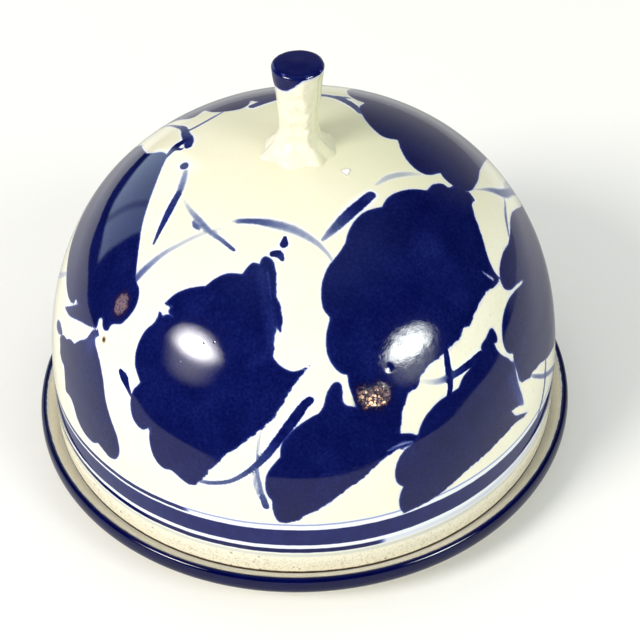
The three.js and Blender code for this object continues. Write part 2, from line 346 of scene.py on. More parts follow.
def inside(points, outline):
    """Whether each chart point lies inside the closed outline."""
    found = np.zeros(len(points), bool)
    x, y = points[:, 0], points[:, 1]
    for (x0, y0), (x1, y1) in zip(outline, np.roll(outline, -1, 0)):
        if y0 == y1:
            continue
        crosses = (y0 > y) != (y1 > y)
        found ^= crosses & (x < (x1 - x0) * (y - y0) / (y1 - y0) + x0)
    return found


def near(chart, outline, reach):
    """Numbers of the chart points within reach of the outline's bounding box."""
    low, high = outline.min(0) - reach, outline.max(0) + reach
    return np.where(((chart > low) & (chart < high)).all(1))[0]


LEAF_REACH = 6.0  # millimetres outside a leaf over which its distance is worked out
CHART_STRETCH = 1.6  # low on the dome's side the chart is about this much wider than its surface
RAGGED_SIDE = np.array([0.7, -0.7])  # the brush leaves a dry edge on the side that faces this way


def outline_distance(chart, space, leaf, reach):
    """Points near a closed outline, their signed distance to it, and which way its nearest side faces."""
    points = np.array([p[:2] for p in leaf], float)
    outline = smooth_run(points, [len(p) > 2 for p in leaf], closed=True)
    picked = near(chart, outline, reach * CHART_STRETCH)
    ring = on_dome(outline)
    gap, which, _ = nearest(space[picked], ring, np.roll(ring, -1, 0))
    gap[inside(chart[picked], outline)] *= -1
    ahead = np.roll(outline, -2, 0) - np.roll(outline, 2, 0)
    outward = np.stack([-ahead[:, 1], ahead[:, 0]], 1) / np.linalg.norm(ahead, axis=1)[:, None]
    return picked, gap, outward[which]


def leaf_fields(chart, space):
    """Signed distance to the leaves' edges, negative inside, and how dry the nearest edge is."""
    distance = np.full(len(chart), LEAF_REACH)
    dryness = np.zeros(len(chart))
    for number, leaf in enumerate(DRY_LEAVES + WET_LEAVES):
        picked, gap, outward = outline_distance(chart, space, leaf, LEAF_REACH)
        dry = np.clip(outward @ RAGGED_SIDE, 0, 1) * (number < len(DRY_LEAVES))
        better = gap < distance[picked]
        distance[picked[better]] = gap[better]
        dryness[picked[better]] = dry[better]
    return distance, dryness


STROKE_LIMIT = 9.0  # beyond three half widths a stroke has no effect
STROKE_REACH = 8.0  # millimetres on the chart, round a stroke, that it can colour
STROKE_FADE = (2.2, 0.8)  # squared distances across a stroke between which it gives way to a crossing one


def stroke_fields(chart, space, strokes):
    """How far across its stroke each point is, squared, so that 1 is the edge, and its colour's depth.

    Where strokes cross, the one with the stronger colour wins.
    """
    across = np.full(len(chart), STROKE_LIMIT)
    tone = np.zeros(len(chart))
    strength = np.zeros(len(chart))
    for stroke in strokes:
        points = np.array(stroke, float)
        line = smooth_run(points, [False] * len(points), closed=False, spacing=0.8)
        picked = near(chart, line[:, :2], STROKE_REACH)
        ridge = on_dome(line[:, :2])
        gap, which, share = nearest(space[picked], ridge[:-1], ridge[1:])
        here, ahead = line[which], line[which + 1]
        half, depth = (here[:, column] * (1 - share) + ahead[:, column] * share for column in (2, 3))
        ratio = np.minimum((gap / half) ** 2, STROKE_LIMIT)
        strong = depth * np.clip((STROKE_FADE[0] - ratio) / (STROKE_FADE[0] - STROKE_FADE[1]), 0, 1)
        equal = (strong == 0) & (strength[picked] == 0) & (ratio < across[picked])
        better = equal | (strong > strength[picked])
        across[picked[better]] = ratio[better]
        tone[picked[better]] = depth[better]
        strength[picked[better]] = strong[better]
    return across, tone


def spot_field(space, chart_point, radius, stretch=1.0):
    """1 at the middle of a round spot on the dome, 0 at its edge and below 0 outside."""
    centre = on_dome(np.array([chart_point], float))[0]
    offset = space - centre
    side = np.array([centre[1], -centre[0], 0]) / math.hypot(centre[0], centre[1])
    along = offset @ side
    rest = np.linalg.norm(offset - along[:, None] * side, axis=1)
    return np.clip(1 - np.hypot(along / stretch, rest) / radius, -1, 1)


# ---------------------------------------------------------------- mesh helpers
def wave(points, lengths, seed):
    """A smooth, repeatable unevenness between about -1 and 1, made of a few crossing waves."""
    random = np.random.default_rng(seed)
    total = np.zeros(len(points))
    for length in lengths:
        direction = random.normal(size=3)
        direction /= np.linalg.norm(direction)
        total += np.sin(points @ direction * 2 * np.pi / length + random.uniform(0, 2 * np.pi))
    return total / len(lengths)


def grid_mesh(name, grid, attributes, material):
    """A closed surface from rows of points round the axis. The first and last rows are single points."""
    rows, columns = grid.shape[0], grid.shape[1]
    ring = grid[1:-1].reshape(-1, 3)
    points = np.concatenate([grid[0, :1], ring, grid[-1, :1]]) * MM
    last = len(points) - 1
    index = 1 + np.arange((rows - 2) * columns).reshape(rows - 2, columns)
    beside = np.roll(index, -1, 1)
    quads = np.stack([index[:-1], index[1:], beside[1:], beside[:-1]], -1).reshape(-1, 4)
    top = [(0, int(a), int(b)) for a, b in zip(index[0], beside[0])]
    bottom = [(last, int(b), int(a)) for a, b in zip(index[-1], beside[-1])]
    mesh = bpy.data.meshes.new(name)
    mesh.from_pydata(points.tolist(), [], quads.tolist() + top + bottom)
    mesh.polygons.foreach_set("use_smooth", [True] * len(mesh.polygons))
    for key, values in attributes.items():
        flat = values.reshape(rows, columns)
        packed = np.concatenate([flat[0, :1], flat[1:-1].ravel(), flat[-1, :1]])
        layer = mesh.attributes.new(key, "FLOAT", "POINT")
        layer.data.foreach_set("value", packed.astype(np.float32))
    mesh.update()
    made = bpy.data.objects.new(name, mesh)
    bpy.context.scene.collection.objects.link(made)
    mesh.materials.append(material)
    return made


def azimuths(columns, crowding=0.0):
    """Angles round the axis from the front. Crowding above 0 sets them closer together at the front."""
    even = np.linspace(0, 2 * np.pi, columns, endpoint=False)
    return even - crowding * np.sin(even)


def revolve(radii, heights, angle):
    """Rows of points for a profile that runs from the axis, over the outside, back to the axis."""
    x = np.outer(radii, np.sin(angle))
    y = -np.outer(radii, np.cos(angle))
    z = np.repeat(np.asarray(heights)[:, None], len(angle), 1)
    return np.stack([x, y, z], -1)


# ---------------------------------------------------------------- shader helpers
class Shader:
    """A node tree under construction. Most methods add a few nodes and give the socket they end in."""

    def __init__(self, tree):
        self.tree = tree
        self.tree.nodes.clear()

    def add(self, kind, **settings):
        """A new node with these settings."""
        made = self.tree.nodes.new(kind)
        for key, value in settings.items():
            setattr(made, key, value)
        return made

    def put(self, socket, value):
        """Links a socket to another one, or sets its value; a colour is three numbers."""
        if isinstance(value, bpy.types.NodeSocket):
            self.tree.links.new(value, socket)
        elif isinstance(value, tuple) and len(value) == 3 and socket.type == "RGBA":
            socket.default_value = (*value, 1)
        else:
            socket.default_value = value

    def math(self, operation, a, b=0.0):
        made = self.add("ShaderNodeMath", operation=operation)
        self.put(made.inputs[0], a)
        self.put(made.inputs[1], b)
        return made.outputs[0]

    def plus(self, a, b):
        return self.math("ADD", a, b)

    def minus(self, a, b):
        return self.math("SUBTRACT", a, b)

    def times(self, a, b):
        return self.math("MULTIPLY", a, b)

    def length(self, a, b):
        """Length of the vector (a, b)."""
        return self.math("SQRT", self.plus(self.math("POWER", a, 2.0), self.math("POWER", b, 2.0)))

    def greatest(self, *values):
        found = values[0]
        for value in values[1:]:
            found = self.math("MAXIMUM", found, value)
        return found

    def mix(self, share, a, b):
        """Colour a where share is 0, colour b where it is 1."""
        made = self.add("ShaderNodeMix", data_type="RGBA")
        self.put(made.inputs[0], share)  # inputs 6 and 7 and output 2 are the node's colours
        self.put(made.inputs[6], a)
        self.put(made.inputs[7], b)
        return made.outputs[2]

    def blend(self, share, a, b):
        """Number a where share is 0, number b where it is 1."""
        made = self.add("ShaderNodeMix", data_type="FLOAT")
        self.put(made.inputs[0], share)
        self.put(made.inputs[2], a)
        self.put(made.inputs[3], b)
        return made.outputs[0]

    def join(self, share, a, b):
        """Shader a where share is 0, shader b where it is 1."""
        made = self.add("ShaderNodeMixShader")
        for socket, value in zip(made.inputs, (share, a, b)):
            self.put(socket, value)
        return made.outputs[0]

    def step(self, value, start, end):
        """0 at start, 1 at end, eased between."""
        made = self.add("ShaderNodeMapRange", interpolation_type="SMOOTHSTEP")
        self.put(made.inputs["Value"], value)
        low, high = (start, end) if start < end else (end, start)
        made.inputs["From Min"].default_value = low
        made.inputs["From Max"].default_value = high
        made.inputs["To Min"].default_value = 0 if start < end else 1
        made.inputs["To Max"].default_value = 1 if start < end else 0
        return made.outputs[0]

    def between(self, value, low, high, soft):
        """1 between low and high, 0 outside, with edges eased over soft to either side."""
        above = self.step(value, low - soft, low + soft)
        below = self.step(value, high + soft, high - soft)
        return self.times(above, below)


class Glaze(Shader):
    """A surface material. Coordinates are in millimetres in the piece's own space."""

    def __init__(self, name):
        self.material = bpy.data.materials.new(name)
        self.material.use_nodes = True
        super().__init__(self.material.node_tree)
        place = self.add("ShaderNodeTexCoord")
        scale = self.add("ShaderNodeVectorMath", operation="SCALE")
        self.tree.links.new(place.outputs["Object"], scale.inputs[0])
        scale.inputs["Scale"].default_value = 1 / MM
        self.place = scale.outputs[0]
        split = self.add("ShaderNodeSeparateXYZ")
        self.tree.links.new(self.place, split.inputs[0])
        self.x, self.y, self.z = split.outputs

    def noise(self, size, detail=2.0, roughness=0.5):
        """Noise from 0 to 1, whose features are about size millimetres across."""
        made = self.add("ShaderNodeTexNoise", noise_dimensions="3D")
        self.put(made.inputs["Vector"], self.place)
        made.inputs["Scale"].default_value = 1 / size
        made.inputs["Detail"].default_value = detail
        made.inputs["Roughness"].default_value = roughness
        return made.outputs["Fac"]

    def around(self, size, depth=1.0, detail=2.0):
        """Noise centred on 0, from about -depth/2 to depth/2."""
        return self.times(self.minus(self.noise(size, detail), 0.5), depth)

    def specks(self, size, share):
        """Mask of round specks about size millimetres apart; share is a speck's radius in its cell."""
        made = self.add("ShaderNodeTexVoronoi", feature="F1")
        self.put(made.inputs["Vector"], self.place)
        made.inputs["Scale"].default_value = 1 / size
        cell = self.add("ShaderNodeSeparateColor")
        self.put(cell.inputs[0], made.outputs["Color"])
        reach = self.times(self.step(cell.outputs[0], 0.45, 1.0), share)
        gap = self.minus(made.outputs["Distance"], reach)
        return self.times(self.step(gap, 0.06, -0.06), self.step(cell.outputs[1], 0.5, 0.6))

    def tint(self, color, depth, glass):
        """A colour seen through coloured glass: depth 0 leaves it as it is, 1 is the full blue."""
        apart = self.add("ShaderNodeSeparateColor")
        self.put(apart.inputs[0], color)
        joined = self.add("ShaderNodeCombineColor")
        for channel, through in enumerate(glass):
            passed = self.math("POWER", through, depth)
            self.put(joined.inputs[channel], self.times(apart.outputs[channel], passed))
        return joined.outputs[0]

    def field(self, name):
        """A number stored on the mesh."""
        return self.add("ShaderNodeAttribute", attribute_name=name).outputs["Fac"]

    def finish(self, color, roughness, height, depth, metallic=0.0, level=0.5):
        """Joins colour, roughness and a height, which depth turns into millimetres, to a surface."""
        surface = self.add("ShaderNodeBsdfPrincipled")
        self.put(surface.inputs["Base Color"], color)
        self.put(surface.inputs["Roughness"], roughness)
        self.put(surface.inputs["Metallic"], metallic)
        surface.inputs["IOR"].default_value = GLAZE_IOR
        surface.inputs["Specular IOR Level"].default_value = level
        bump = self.add("ShaderNodeBump")
        bump.inputs["Strength"].default_value = 1.0
        bump.inputs["Distance"].default_value = depth * MM
        self.put(bump.inputs["Height"], height)
        self.put(surface.inputs["Normal"], bump.outputs["Normal"])
        end = self.add("ShaderNodeOutputMaterial")
        self.put(end.inputs["Surface"], surface.outputs[0])
        return self.material


# ---------------------------------------------------------------- glaze and clay, linear colours
CREAM = (0.87, 0.85, 0.66)
CREAM_WARM = (0.83, 0.79, 0.56)
CREAM_COOL = (0.87, 0.88, 0.76)
CREAM_SHADE = (0.69, 0.69, 0.47)
CREAM_BLUISH = (0.82, 0.85, 0.88)
COBALT_GLASS = (0.0040, 0.0075, 0.092)  # share of red, green and blue light that comes through full cobalt
WASH_GLASS = (0.0052, 0.0090, 0.062)  # the same for the thinned blue of the strokes, which fires duller
CLAY = (0.62, 0.52, 0.38)
CLAY_DARK = (0.48, 0.37, 0.24)
IRON = (0.10, 0.05, 0.02)
IRON_PALE = (0.5, 0.36, 0.2)
SAND = (0.52, 0.40, 0.22)

GLAZE_ROUGHNESS = 0.06
GLAZE_IOR = 1.33


def cream(g):
    """The white glaze: uneven in thickness, finely mottled, with a few iron specks from the clay."""
    pooled = g.mix(g.noise(26, 2), CREAM, CREAM_WARM)
    cloudy = g.mix(g.times(g.noise(6, 4), 0.55), pooled, CREAM_COOL)
    fine = g.mix(g.times(g.step(g.noise(0.9, 3), 0.5, 0.8), 0.15), cloudy, SAND)
    return g.mix(g.times(g.specks(6.5, 0.06), 0.5), fine, IRON_PALE)


def glaze_height(g):
    """Soft waviness of a poured glaze, with a fine orange peel and rare pinholes."""
    waves = g.times(g.noise(14, 1), 0.25)
    peel = g.times(g.noise(1.5, 2), 0.045)
    pits = g.times(g.specks(3.2, 0.09), -0.2)
    return g.plus(g.plus(waves, peel), pits)


# ---------------------------------------------------------------- the dome's glaze
# Bands, as heights in millimetres above the lid's foot.
BAND = (12.4, 18.6)
LOWER_LINE = (9.25, 10.85)
UPPER_LINE = (19.4, 20.75)
GREY_LINE = (7.4, 8.6)
FAINT_LINE = (20.3, 20.9)
SANDY_TOP = 7.2
FOOT_SHADE_LINE = (0.95, 1.35)  # the dark brown line that borders the bare foot, painted contact shade where the lid meets the plate, fades over this height

# Azimuths in degrees where the brush was set down for the thin lines, and where it was lifted.
LINE_START = -118
UPPER_LINE_END = -27
LOWER_LINE_END = 14

# Marks of the firing: place on the chart, radius in millimetres, and how much wider than high.
MARKS = {
    "oxide": ((20.6, -77.6), 3.7, 1.2),  # the copper-coloured patch
    "wrinkles": ((31, -64), 15, 1.2),  # where the glaze drew together round the patch
    "purple": ((-55.5, -40), 3.4, 0.75),
    "spot": ((-65.4, -46.3), 1.2, 0.75),
}
OXIDE_HEIGHT = on_dome(np.array([MARKS["oxide"][0]]))[0, 2]

SANDY_CREAM = (0.90, 0.85, 0.69)
PORE_BROWN = (0.28, 0.17, 0.07)
SCORCHED = (0.006, 0.004, 0.012)
MAUVE_DARK = (0.07, 0.035, 0.06)
MAUVE_PALE = (0.24, 0.13, 0.14)
COPPER = (0.86, 0.42, 0.20)
COPPER_PALE = (1.0, 0.84, 0.62)
PURPLE_SHADE = (0.02, 0.008, 0.02)
PURPLE_DULL = (0.21, 0.14, 0.165)
CHIP_EDGE_SHADE = (0.42, 0.38, 0.32)
CHIP_WHITE = (0.97, 0.95, 0.95)
SPOT_HALO = (0.36, 0.20, 0.08)
SPOT_BROWN = (0.05, 0.022, 0.010)
CONTACT_SHADE_BROWN = (0.035, 0.016, 0.004)


def leaf_paint(g):
    """Depth of the leaves' blue: crisp on the wet side, broken up on the dry side, nearly even inside."""
    wobble = g.around(1.3, 0.3, 3)
    dry = g.times(g.around(2.0, 1.7, 4), g.field("dryness"))
    edge = g.plus(g.field("leaf"), g.plus(wobble, dry))
    covered = g.times(g.step(edge, 0.28, -0.22), g.blend(g.step(edge, 0.0, -1.0), 0.8, 1.0))
    mottle = g.plus(g.around(9, 0.35, 3), g.around(0.8, 0.5, 3))
    thinned = g.step(g.math("SQRT", g.field("thin_across")), 1.6, 0.1)
    missing = g.times(thinned, g.field("thin_tone"))
    return g.times(g.times(g.plus(mottle, 1.04), g.minus(1.0, missing)), covered)


def stroke_paint(g, tone):
    """Depth of the strokes' blue: translucent, uneven, and softer at the edge where it is thin."""
    across = g.plus(g.field("stroke"), g.around(1.1, 0.8, 3))
    uneven = g.plus(g.around(1.6, 0.5, 3), 0.86)
    crisp = g.blend(g.step(tone, 0.7, 1.0), 0.35, 1.0)
    beyond = g.times(g.minus(across, 1.0), crisp)
    body = g.times(g.step(beyond, 0.4, -0.35), g.math("POWER", tone, 2.4))
    return g.times(body, uneven)


def band_paint(g, height):
    """Depth of the blue of the wide band and the thin lines, turned on the wheel."""
    azimuth = g.math("ARCTAN2", g.x, g.times(g.y, -1))
    start = g.step(azimuth, math.radians(LINE_START - 2), math.radians(LINE_START + 2))

    def brushed(end):
        return g.times(g.step(azimuth, math.radians(end + 2), math.radians(end - 1)), start)

    upper_brushed = brushed(UPPER_LINE_END)
    band = g.times(g.between(height, *BAND, 0.15), g.plus(g.around(3, 0.25, 3), 0.93))
    lower = g.times(g.between(height, *LOWER_LINE, 0.18), g.blend(brushed(LOWER_LINE_END), 0.035, 1.1))
    upper = g.times(g.between(height, *UPPER_LINE, 0.18), upper_brushed)
    faint = g.times(g.between(height, *FAINT_LINE, 0.2), g.blend(upper_brushed, 0.2, 0.0))
    grey = g.times(g.between(height, *GREY_LINE, 0.5), 0.05)
    return g.greatest(band, lower, upper, faint, grey)


def dome_ground(g, height, sandy, grain):
    """The glaze without its blue, with painted shade on the far side of the crown, and sandy above the
    foot.
    """
    base = g.mix(g.times(g.step(height, 66, 92), 0.5), cream(g), CREAM_WARM)
    # Painted shade on the far side of the crown, behind the knob, where its shadow falls.
    shade_side = g.plus(g.times(g.x, 0.8), g.plus(g.y, g.around(20, 14)))
    crown_shade = g.times(g.step(shade_side, -30, 30), g.step(height, 70, 88))
    base = g.mix(g.times(crown_shade, 0.9), base, CREAM_SHADE)
    base = g.mix(g.times(sandy, 0.6), base, SANDY_CREAM)
    base = g.mix(g.times(g.step(grain, 0.50, 0.64), g.times(sandy, 0.48)), base, SAND)
    return g.mix(g.times(g.specks(1.6, 0.28), g.times(sandy, 0.7)), base, PORE_BROWN)


def oxide_patch(g, color, patchy, sparkle):
    """The colour with the copper-coloured patch on it, and where the patch is metal."""
    color = g.mix(g.times(g.step(patchy, -0.55, 0.35), 0.85), color, SCORCHED)
    grains = g.times(g.step(g.noise(0.95, 3, roughness=0.7), 0.51, 0.57), g.step(patchy, -0.2, 0.35))
    mauve = g.mix(g.noise(1.6, 1), MAUVE_DARK, MAUVE_PALE)
    color = g.mix(g.times(grains, 0.9), color, mauve)
    lower_side = g.step(g.z, OXIDE_HEIGHT + 2.2, OXIDE_HEIGHT - 0.6)
    flakes = g.greatest(g.specks(1.15, 0.55), g.specks(0.8, 0.5), g.step(sparkle, 0.59, 0.62))
    flakes = g.times(flakes, g.blend(lower_side, 0.3, 1.0))
    metal = g.times(g.step(patchy, 0.12, 0.34), flakes)
    copper = g.mix(g.step(g.noise(0.9, 1), 0.42, 0.62), COPPER, COPPER_PALE)
    return g.mix(metal, color, copper), metal


def purple_mark(g, color):
    """The colour with the dull purple firing mark on it."""
    place = g.plus(g.field("purple"), g.around(1.6, 0.7, 3))
    broken = g.blend(g.step(g.noise(0.6, 2), 0.35, 0.6), 0.35, 0.9)
    color = g.mix(g.times(g.step(place, -0.6, 0.3), 0.6), color, PURPLE_SHADE)
    return g.mix(g.times(g.step(place, -0.05, 0.35), broken), color, PURPLE_DULL)


def dome_material():
    g = Glaze("painted_glaze")
    tone = g.field("tone")
    outer = g.field("outer")
    height = g.minus(g.z, WELL)
    wavy = g.plus(height, g.plus(g.around(30, 0.9, 1), g.around(2.5, 0.25, 2)))
    sandy = g.step(wavy, SANDY_TOP + 0.8, SANDY_TOP - 0.8)
    grain = g.noise(0.62, 3, roughness=0.6)

    # The glaze is whiter and bluer next to the paint.
    near_leaf = g.step(g.plus(g.field("leaf"), g.around(3, 1.6, 2)), 1.1, -0.1)
    near_stroke = g.times(g.step(g.field("stroke"), 5.0, 0.8), g.times(tone, 0.8))
    near_band = g.between(wavy, LOWER_LINE[0] - 0.3, UPPER_LINE[1] + 0.4, 0.5)
    whiter = g.greatest(g.times(near_leaf, 0.6), near_stroke, g.times(near_band, 0.9))
    color = g.mix(g.times(whiter, outer), dome_ground(g, height, sandy, grain), CREAM_BLUISH)

    # Strokes of nearly full tone are cobalt like the leaves; the thinner ones are a duller wash.
    strokes = stroke_paint(g, tone)
    heavy = g.times(strokes, g.times(g.step(tone, 0.86, 1.0), 1.15))
    depth = g.greatest(leaf_paint(g), heavy, band_paint(g, wavy), g.times(near_leaf, 0.035))
    wash = g.math("MAXIMUM", g.minus(strokes, depth), 0.0)
    color = g.tint(color, g.times(depth, outer), COBALT_GLASS)
    color = g.tint(color, g.times(wash, outer), WASH_GLASS)

    # Marks of the firing, the chip, and the dark line at the foot, which is painted contact shade.
    patchy = g.plus(g.field("oxide"), g.around(3.0, 1.1, 4))
    sparkle = g.noise(0.62, 4, roughness=0.75)
    color, metal = oxide_patch(g, color, patchy, sparkle)
    color = purple_mark(g, color)
    # The chip is white, with painted shade along its raised edge.
    chip = g.step(g.field("chip"), -0.05, 0.1)
    color = g.mix(chip, color, g.mix(g.step(g.field("chip"), 0.0, 0.45), CHIP_EDGE_SHADE, CHIP_WHITE))
    spot = g.field("spot")
    color = g.mix(g.times(g.step(spot, -0.3, 0.4), 0.8), color, SPOT_HALO)
    color = g.mix(g.step(spot, 0.1, 0.5), color, SPOT_BROWN)
    # Painted contact shade: a dark brown line where the lid stands in the plate.
    foot_shade_line = g.step(g.plus(height, g.around(3, 0.4)), FOOT_SHADE_LINE[1], FOOT_SHADE_LINE[0])
    color = g.mix(foot_shade_line, color, CONTACT_SHADE_BROWN)

    # Bare clay where the lid stands.
    bare = g.field("bare")
    color = g.mix(bare, color, g.mix(g.noise(2.5, 4), CLAY, CLAY_DARK))

    roughness = g.blend(g.times(sandy, outer), GLAZE_ROUGHNESS, 0.28)
    for rougher, value in ((g.step(patchy, -0.2, 0.3), 0.42), (chip, 0.45), (foot_shade_line, 0.6), (bare, 0.75)):
        roughness = g.blend(rougher, roughness, value)
    rough_grain = g.times(g.times(grain, sandy), 0.7)
    rough_oxide = g.times(g.times(sparkle, g.step(patchy, 0.0, 0.5)), 2.0)
    wrinkled = g.times(g.step(g.field("wrinkles"), 0.0, 0.8), g.noise(2.4, 3, roughness=0.55))
    uneven = g.plus(rough_oxide, g.times(wrinkled, 0.42))
    bumps = g.plus(glaze_height(g), g.plus(rough_grain, uneven))
    return g.finish(color, roughness, bumps, 0.12, g.times(metal, 0.85))


# ---------------------------------------------------------------- the dome
PIT = ((24.5, -69.5), 0.9)  # place on the chart and radius
PIT_DEPTH = 0.4
CHIP_RAISE = 0.3
CHIP_OUTLINE = [
    (10.5, -11.4, CORNER), (12.2, -10.6), (13.8, -10.2, CORNER), (13.4, -12, CORNER),
    (12.4, -13.9, CORNER), (11.7, -12.6, CORNER),
]
DOME_COLUMNS = 470
DOME_CROWDING = 0.35
DOME_ROWS = 184
FOOT_CORNER = 0.35
FOOT_INNER_CORNER = 1.4
ROUNDING_STEPS = 4
INSIDE_ROWS = 16
KNOB_SEAT = 8.0  # the crown under the knob needs no fine rows
UNEVENNESS = 0.10  # of the thrown wall
THROWING_RING = 0.012
THROWING_PITCH = 7.5
SETTLE_HEIGHT = 4.0  # the foot is flat; unevenness grows over this height above it
PUSH_CENTRE = WELL + 20  # unevenness moves the wall away from this height on the axis, or towards it


def dome():
    """The thrown lid as one closed shell: outside, foot and inside."""
    travel = np.concatenate([[0], np.linspace(KNOB_SEAT, CHART_EDGE - FOOT_CORNER, DOME_ROWS)])
    radii = np.interp(travel, PROFILE_TRAVEL, PROFILE_RADIUS)
    heights = np.interp(travel, PROFILE_TRAVEL, PROFILE_HEIGHT)
    inner_radius = LID_RADIUS - WALL_THICKNESS
    foot = np.linspace(0, np.pi / 2, ROUNDING_STEPS)
    flat_in, down = 1 - np.cos(foot), 1 - np.sin(foot)
    outer_edge = LID_RADIUS - FOOT_CORNER * flat_in, WELL + FOOT_CORNER * down
    inner_edge = inner_radius + FOOT_INNER_CORNER * down, WELL + FOOT_INNER_CORNER * flat_in
    inner_rise = LID_RISE - CROWN_THICKNESS
    inner, rise = superellipse(inner_radius, WELL + LID_WALL, inner_rise, INSIDE_ROWS)
    all_radii = np.concatenate([radii, outer_edge[0][1:], inner_edge[0], inner[::-1]])
    all_heights = np.concatenate([heights, outer_edge[1][1:], inner_edge[1], rise[::-1]])
    angle = azimuths(DOME_COLUMNS, DOME_CROWDING)
    grid = revolve(all_radii, all_heights, angle)
    rows = len(all_radii)
    outer_rows = len(travel)

    chart = np.stack([np.outer(travel, np.sin(angle)), -np.outer(travel, np.cos(angle))], -1)
    chart = chart.reshape(-1, 2)
    space = grid[:outer_rows].reshape(-1, 3)

    def spread(values, rest):
        """The outside's values, and rest everywhere else."""
        full = np.full(rows * DOME_COLUMNS, float(rest))
        full[: len(values)] = values
        return full

    leaf, dryness = leaf_fields(chart, space)
    across, tone = stroke_fields(chart, space, ALL_STROKES)
    thin_across, thin_tone = stroke_fields(chart, space, THIN_STREAKS)
    chip = np.full(len(chart), -1.0)
    picked, gap, _ = outline_distance(chart, space, CHIP_OUTLINE, 1.0)
    chip[picked] = np.clip(-gap, -1, 1)
    row_number = np.repeat(np.arange(rows), DOME_COLUMNS)
    foot_start = outer_rows + ROUNDING_STEPS - 2  # the lowest row of the foot's outer edge
    # The outside ends with the foot's flat ring, and bare clay goes on round its inner edge.
    attributes = {
        "leaf": spread(leaf, LEAF_REACH),
        "dryness": spread(dryness, 0),
        "stroke": spread(across, STROKE_LIMIT),
        "tone": spread(tone, 0),
        "thin_across": spread(thin_across, STROKE_LIMIT),
        "thin_tone": spread(thin_tone, 0),
        "outer": (row_number < foot_start + 2).astype(float),
        **{name: spread(spot_field(space, *mark), -1) for name, mark in MARKS.items()},
        "chip": spread(chip, -1),
        "bare": ((row_number >= foot_start) & (row_number < foot_start + ROUNDING_STEPS)).astype(float),
    }

    flat = grid.reshape(-1, 3)
    push = UNEVENNESS * wave(flat, (44, 57, 71, 39), 3)
    turn_phase = flat[:, 2] * 2 * np.pi / THROWING_PITCH
    push += THROWING_RING * np.sin(turn_phase + 0.6 * np.sin(flat[:, 0] / 30))
    push[: len(chip)] += CHIP_RAISE * np.clip(chip * 3, 0, 1)
    push[: len(chip)] -= PIT_DEPTH * np.clip(spot_field(space, *PIT), 0, 1)
    settle = np.clip((flat[:, 2] - WELL) / SETTLE_HEIGHT, 0, 1)
    outward = flat - np.array([0, 0, PUSH_CENTRE])
    outward /= np.linalg.norm(outward, axis=1)[:, None]
    flat = flat + outward * (push * settle)[:, None]
    grid = lean(flat).reshape(grid.shape)
    return grid_mesh("lid_dome_glazed", grid, attributes, dome_material())


# ---------------------------------------------------------------- the knob
NECK_RADIUS = 5.35
NECK_HEIGHT = 9.3
HEAD_RADIUS = 7.15
EDGE_ROUNDING = 1.0
EDGE_WIDTH = 1.2  # the rounded edge is this much wider than high
FOOT_INSET = 0.9  # the foot between the toes lies this far inside its widest radius
FOOT_FLARE = 2.6  # exponents: above 1 the flare is concave
HEAD_FLARE = 1.15
TOE_HEIGHT = 2.6
RIDGE_TWIST = 0.012  # radians for each millimetre up the stem
STEM_LUMPS = 0.15
FINGER_TEXTURE = 0.035
HEAD_WARP = 0.1
HEAD_DIP = 0.05
KNOB_COLUMNS = 200
STEM_ROWS = 76
EDGE_ROWS = 9
HEAD_ROWS = 12
KNOB_SINK = 1.5  # the stem starts this far inside the crown
HEAD_CROWN = 0.12

# Toes squeezed out by the fingers at the knob's foot, and marks left along its stem: azimuth in degrees,
# size in millimetres and width in degrees.
TOES = (
    (-66, 2.4, 15), (-18, 1.9, 20), (30, 2.0, 13), (64, 1.7, 19), (112, 1.2, 22), (158, 1.4, 22),
    (203, 0.8, 24), (248, 0.6, 22),
)
RIDGES = (
    (-40, 0.2, 12), (-8, -0.1, 12), (24, 0.42, 9), (50, -0.3, 14), (76, -0.45, 5), (128, 0.2, 14),
    (176, 0.2, 14), (236, 0.2, 12),
)
# Bumps: azimuth, height above the foot, size and radius.
BUMPS = (
    (20, 17.4, 0.4, 0.8), (24, 13.6, 0.6, 0.9), (21, 10.6, 0.4, 0.8), (27, 8.2, 0.6, 0.9),
    (-30, 12, 0.3, 1.4), (-14, 17, 0.3, 1.5), (-22, 7, 0.3, 1.3), (0, 13, 0.25, 1.1),
    (140, 12, 0.4, 1.2), (215, 8, 0.4, 1.3),
)
# The blue runs down from the head's edge, furthest at DRIP_AZIMUTH.
DRIP_AZIMUTH = -58
DRIP_WIDTH = 54
DRIP_LEAST = 0.8
DRIP_MOST = 4.2
TOP_BLUE = -0.5  # the whole top lies at least this deep inside the blue, where distances are negative
KNOB_ROUGHNESS = GLAZE_ROUGHNESS + 0.09
KNOB_WARM = (0.76, 0.70, 0.55)


def around_angle(azimuth, centre):
    """Signed difference between angles, in degrees."""
    return (np.degrees(azimuth) - centre + 180) % 360 - 180


def knob_material():
    g = Glaze("knob_glaze")
    blue = g.field("blue")
    edge = g.plus(blue, g.plus(g.around(2.2, 1.0, 3), g.around(0.7, 0.3, 2)))
    covered = g.step(edge, 0.35, -0.3)
    near = g.step(edge, 1.2, 0.0)
    base = g.mix(g.step(g.noise(2.4, 4), 0.35, 0.7), cream(g), KNOB_WARM)
    # Painted shade on the right and far side of the stem.
    shade_side = g.plus(g.x, g.plus(g.times(g.y, 0.5), g.around(3, 3, 3)))
    base = g.mix(g.times(g.step(shade_side, -1.5, 4.5), 0.85), base, CREAM_SHADE)
    base = g.mix(g.times(near, 0.8), base, CREAM_BLUISH)
    worn = g.times(g.step(g.field("rim"), 0.3, 0.9), g.step(g.noise(3.2, 2), 0.55, 0.68))
    full = g.minus(g.plus(g.around(3, 0.4, 3), 1.05), g.times(worn, 0.7))
    depth = g.greatest(g.times(covered, full), g.times(near, 0.08))
    lumpy = g.times(g.noise(1.8, 4), g.blend(g.step(blue, -0.6, 0.6), 0.25, 1.3))
    bumps = g.plus(glaze_height(g), lumpy)
    return g.finish(g.tint(base, depth, COBALT_GLASS), KNOB_ROUGHNESS, bumps, 0.2)


